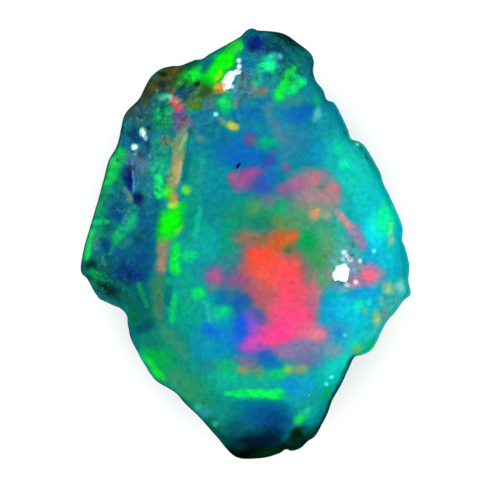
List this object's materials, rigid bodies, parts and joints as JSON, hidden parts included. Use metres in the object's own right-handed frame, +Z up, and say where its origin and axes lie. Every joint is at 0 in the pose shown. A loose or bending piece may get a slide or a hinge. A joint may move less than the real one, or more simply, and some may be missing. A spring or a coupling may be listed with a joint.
{
  "type": "rough opal",
  "caption": "Rough precious opal, a chipped glassy stone with a broad low crown, a concave foot scoop and faceted underside, lying on its small flat resting face.",
  "frame": {"origin": "middle of the stone's box, on the surface it rests on", "axes": "+Z up out of the best face, +Y along the stone from its scooped foot to its narrow dark tip, +X to the right seen from above"},
  "size_m": [0.023, 0.03, 0.012],
  "materials": {
    "opal": "glossy natural opal, teal and blue body with green, red, orange, pink and violet flashes"
  },
  "bodies": {
    "root": {"opal": "opal"}
  },
  "joints": []
}
